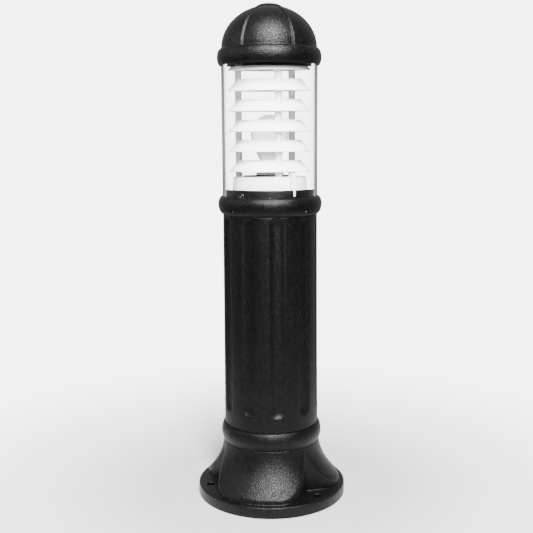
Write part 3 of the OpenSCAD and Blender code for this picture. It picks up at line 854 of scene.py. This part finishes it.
def make_lamp_foot():
    """The lamp's contact, insulator and threaded cap."""
    z0, z1 = low("lamp_contact"), high("lamp_contact")
    loop = rounded([(0, z0, 0), (3.2, z0, 0.8), (4.5, z1, 0.2), (0, z1, 0)])
    piece("lamp_contact", lathe(loop, 48), NICKEL)
    z0, z1 = low("lamp_insulator"), high("lamp_insulator")
    loop = rounded([(0, z0, 0), (4.8, z0, 0.2), (5.5, z0 + 0.4, 0.3), (9.9, z1 - 0.3, 0.5),
                    (9.9, z1, 0.1), (0, z1, 0)])
    piece("lamp_insulator", lathe(loop, 64), VITRITE)
    z0, z1 = low("lamp_cap"), high("lamp_cap")
    rows = np.linspace(z0 + 1.2, z1 - 3, 44)

    def cap(turn):
        ease = [min(1, (z - rows[0]) / 2, (rows[-1] - z) / 2) for z in rows]
        wave = [thread_wave(0.42 * e, z, LAMP_THREAD_PITCH, turn) for e, z in zip(ease, rows)]
        outer = [(12.6 + w, z) for w, z in zip(wave, rows)]
        inner = [(12.2 + w, z) for w, z in zip(wave[::-1], rows[::-1])]
        return [(10, z0), (11.4, z0), *outer, (12.6, z1 - 1.2), (13.0, z1), (12.6, z1), (12.2, z1 - 1.2),
                *inner, (11.0, z0 + 0.4), (10, z0 + 0.4)]

    piece("lamp_cap", loft(cap, even_turns(96)), NICKEL, 50)


def make_bulb():
    """A round bulb whose flank eases down into the neck, from where its sphere ends."""
    z0, r = low("lamp_bulb"), radius("lamp_bulb")
    centre = high("lamp_bulb") - r
    neck_r, neck_z = 12.3, high("lamp_cap") + 1
    join_turn = 38
    join = math.radians(join_turn)
    flank = []
    for i in range(1, 16):
        t = i / 16
        ease = t * t * (3 - 2 * t)
        flank.append((neck_r + 1 + (r * math.cos(join) - neck_r - 1) * ease,
                      neck_z + (centre - r * math.sin(join) - neck_z) * t))
    loop = [(0, z0), (11.4, z0), (11.8, z0 + 0.5), (11.8, neck_z - 2), (neck_r, neck_z - 1),
            (neck_r + 1, neck_z), *flank, *ellipse((0, centre), r, r, -join_turn, 90, 48)]
    piece("lamp_bulb", lathe(loop, 128), OPAL, 60)


# ---------- head ----------

def on_ties(make):
    """One of what make gives on each of the three tie rods."""
    return around(make, 3, POST_TURN, TIE_CIRCLE_R)


def posts(z0, z1):
    post_r = 5.5
    return on_ties(lambda: lathe(rod_loop(post_r, z0, z1, 0.4), 48))


def rod_holes(z0, z1):
    return on_ties(lambda: lathe(rod_loop(TIE_HOLE_R, z0 - 1, z1 + 1), 32))


def make_collar():
    """The bead, the groove that the tube stands in, and the black band inside the tube."""
    z0, top_z, shoulder_z, groove_z = low("collar"), high("collar"), 499.5, low("lower_gasket")
    band_r, floor_r, floor_z, spigot_r, spigot_top = 71.6, 46.5, 503, 66, 492.5
    bead_foot_r, bead_proud, bead_z, below, above, power = 76.6, 7.3, 487, 16.5, 13, 0.6
    seat_r = 77
    lip = [(bead(z, bead_foot_r, bead_proud, bead_z, below, above, power), z)
           for z in eased(bead_z - below, shoulder_z - 0.3, 30)]
    loop = [(73.4, z0), (75.9, z0), (76.4, z0 + 0.3), *lip, (seat_r + 1, shoulder_z),
            (seat_r + 0.3, shoulder_z), (seat_r, shoulder_z - 0.3), (seat_r, groove_z), (band_r, groove_z)]
    loop += rounded([(band_r, 505, 0), (band_r, top_z, 0.7), (floor_r, top_z, 0.5), (floor_r, floor_z, 0.5),
                     (spigot_r, floor_z, 1), (spigot_r, spigot_top, 0.3), (73, spigot_top, 0.5),
                     (73, z0 + 0.4, 0)], 3)
    slot = box_mesh((20, 4.4, 20), (65, 0, top_z))
    clamp_hole = [(0, -10), (2.1, -10), (2.1, 0), (3.2, 0), (3.2, 3.2), (3.9, 12), (0, 12)]
    tools = [moved(slot, place(0, KEY_TURN)), rod_holes(floor_z - 2, top_z),
             around(lambda: moved(lathe(clamp_hole, 40), TO_X), 4, COLLAR_SCREW_TURN, *COLLAR_SCREW_AT)]
    piece("collar", cut(lathe(loop, 240), joined(tools)), RESIN)
    heads = around(lambda: moved(screw(1.95, 5.1, 2.9, 2.5), TO_X), 4, COLLAR_SCREW_TURN, *COLLAR_SCREW_AT)
    piece("collar_screws", heads, STAINLESS)


def make_tube():
    """The clear tube and the gaskets under and over it."""
    tube_r, bore_r, z0, z1 = radius("clear_tube"), 72, low("clear_tube"), high("clear_tube")
    piece("clear_tube", lathe(ring_loop(tube_r, bore_r, z0, z1, 0.5), 256), CLEAR)
    for node, inner in (("lower_gasket", 71.7), ("upper_gasket", 67.1)):
        r, z0, z1 = radius(node), low(node), high(node)
        loop = rounded([(inner, z0, 0.4), (r, z0, 0.8), (r, z1, 0.8), (inner, z1, 0.4)], 4)
        piece(node, lathe(loop, 200), RUBBER)


def make_louvre():
    """The cup with its key rib, and the conical rings, all with posts for the tie rods."""
    z0, z1, top_t = high("collar"), 532.5, 3
    cup_r, cup_top_r, mouth_r = 60, 58.5, 46.5
    loop = rounded([(cup_r - 3, z0, 0.3), (cup_r, z0, 0.5), (cup_top_r, z1, 4), (mouth_r, z1, 0.6),
                    (mouth_r, z1 - top_t, 0.6), (55.6, z1 - top_t, 1.5)], 5)
    key_z0, key_z1 = low("louvre_base"), high("louvre_base")
    key_l, key_w, key_r = 14.8, 4, 63.9
    key = box_mesh((key_l, key_w, key_z1 - key_z0), (key_r, 0, (key_z0 + key_z1) / 2))
    bmesh.ops.bevel(key, geom=key.edges[:], offset=0.5 * MM, segments=2, affect="EDGES", profile=0.5)
    bm = fused(lathe(loop, 160), joined([posts(z0, z1), moved(key, place(0, KEY_TURN))]))
    piece("louvre_base", cut(bm, rod_holes(z0, z1)), WHITE)
    for i in range(1, 7):
        node = f"louvre_ring_{i}"
        z0, z1 = low(node), high(node)
        lip_z, cone_z, lip_r = z1 - 18.6, z1 - 0.5, 65.5
        loop = rounded([(lip_r - 2.4, lip_z, 0.5), (lip_r, lip_z, 0.6), (lip_r, lip_z + 1.2, 0.8),
                        (50, cone_z, 0.9), (47.6, cone_z, 0.5)], 4)
        bm = fused(lathe(loop, 160), posts(z0, z1))
        piece(node, cut(bm, rod_holes(z0, z1)), WHITE)


def make_ties():
    """The three rods that hold the head together, with their washers and nuts."""
    rod = rod_loop(2.5, low("tie_rods"), high("tie_rods"), 0.4)
    piece("tie_rods", on_ties(lambda: lathe(rod, 32)), STAINLESS)
    washer = ring_loop(5, TIE_HOLE_R, low("tie_washers"), high("tie_washers"), 0.15)
    piece("tie_washers", on_ties(lambda: lathe(washer, 48)), STAINLESS)
    z0, z1, nut_r = low("tie_nuts"), high("tie_nuts"), 4.6
    crown = [(0, z0 - 1), (nut_r - 0.3, z0 - 1), (nut_r - 0.3, z0), (nut_r, z0 + 0.3), (nut_r, z1), (0, z1)]

    def nut():
        hexagon = combine(prism(6, nut_r, z0, z1), lathe(crown, 48), "INTERSECT")
        return cut(hexagon, lathe(rod_loop(2.55, z0 - 1, z1 + 1), 32))

    piece("tie_nuts", on_ties(nut), STAINLESS)


def dome_turns():
    """The turns of the dome's mesh, close together at the grooves and wider apart between them."""
    half = [0, 0.25, 0.5, 0.8, 1.1, 1.5, 1.9, 2.3, 2.7, 3.1, 3.6, 4.2, 5, 6.2, 8, 11, 15, 20, 25, 30]
    offsets = [-h for h in half] + half
    turns = {round((GROOVE_TURN + 60 * g + off) % 360, 4) for g in range(6) for off in offsets}
    return np.array(sorted(turns))


def make_dome():
    """A low flat boss, an elliptic dome with six grooves, a rounded rim and a skirt inside the tube."""
    low_z, top_z, foot_z, dome_r, dome_h, wall = low("dome"), high("dome"), 731.0, 76.0, 66.0, 5
    boss_r, boss_z, seat_z, rim_z = 22.5, 793.0, high("upper_gasket"), 704.3
    seat_r, skirt_out, skirt_in = 77.1, 67, 63
    rim_at, rim_edge_r = (dome_r, 716.5), 7
    last = math.degrees(math.acos(boss_r / dome_r))
    angles = np.radians(np.linspace(last, 0.5, 44))
    boss = [(boss_r * math.sin(a) ** 0.77, boss_z + (top_z - boss_z) * max(math.cos(a), 0) ** 1.33)
            for a in np.linspace(0, math.pi / 2, 18)]
    rim = ellipse(rim_at, rim_edge_r, 14.5, 88, 0, 14) + ellipse(rim_at, rim_edge_r, 13.3, -6, -66, 10)
    inside = rounded([(78.7, rim_z + 0.2, 0), (78.2, rim_z, 0.3), (seat_r, rim_z, 0.2), (seat_r, seat_z, 0.5),
                      (skirt_out, seat_z, 0.5), (skirt_out, low_z, 0.8), (skirt_in, low_z, 0.6),
                      (skirt_in, 717, 4), (dome_r - wall, foot_z - 2, 3)], 4)
    shell = ellipse((0, foot_z), dome_r - wall, dome_h - wall, 2, 90, 24)
    shell[-1] = (0, shell[-1][1])
    soft = 0.22

    def profile(turn):
        off = math.radians(off_nearest(turn, GROOVE_TURN, 60))
        skin = []
        for a in angles:
            r, z = dome_r * math.cos(a), foot_z + dome_h * math.sin(a)
            out = Vector((math.cos(a) / dome_r, math.sin(a) / dome_h)).normalized()
            depth = 3.3 - 1.3 * a / angles[0]
            wide = math.hypot(r * math.sin(off), 0.35)
            sink = soft * np.logaddexp(0, (depth - wide) / soft)
            skin.append((r - out.x * sink, z - out.y * sink))
        return boss + skin + rim + inside + shell

    tie_z, tie_boss_r, tie_boss_top, tie_hole_top = high("louvre_ring_1"), 6, 769, 741
    bosses = on_ties(lambda: lathe(rod_loop(tie_boss_r, tie_z, tie_boss_top, 0.4), 40))
    bm = fused(loft(profile, dome_turns(), closed=False), bosses)
    piece("dome", cut(bm, rod_holes(tie_z, tie_hole_top)), RESIN, 40)


make_base()
make_column()
make_column_screws()
make_bracket()
make_gland()
make_terminals()
make_wires()
make_holder()
make_holder_metal()
make_holder_plate()
make_lamp_foot()
make_bulb()
make_collar()
make_tube()
make_louvre()
make_ties()
make_dome()
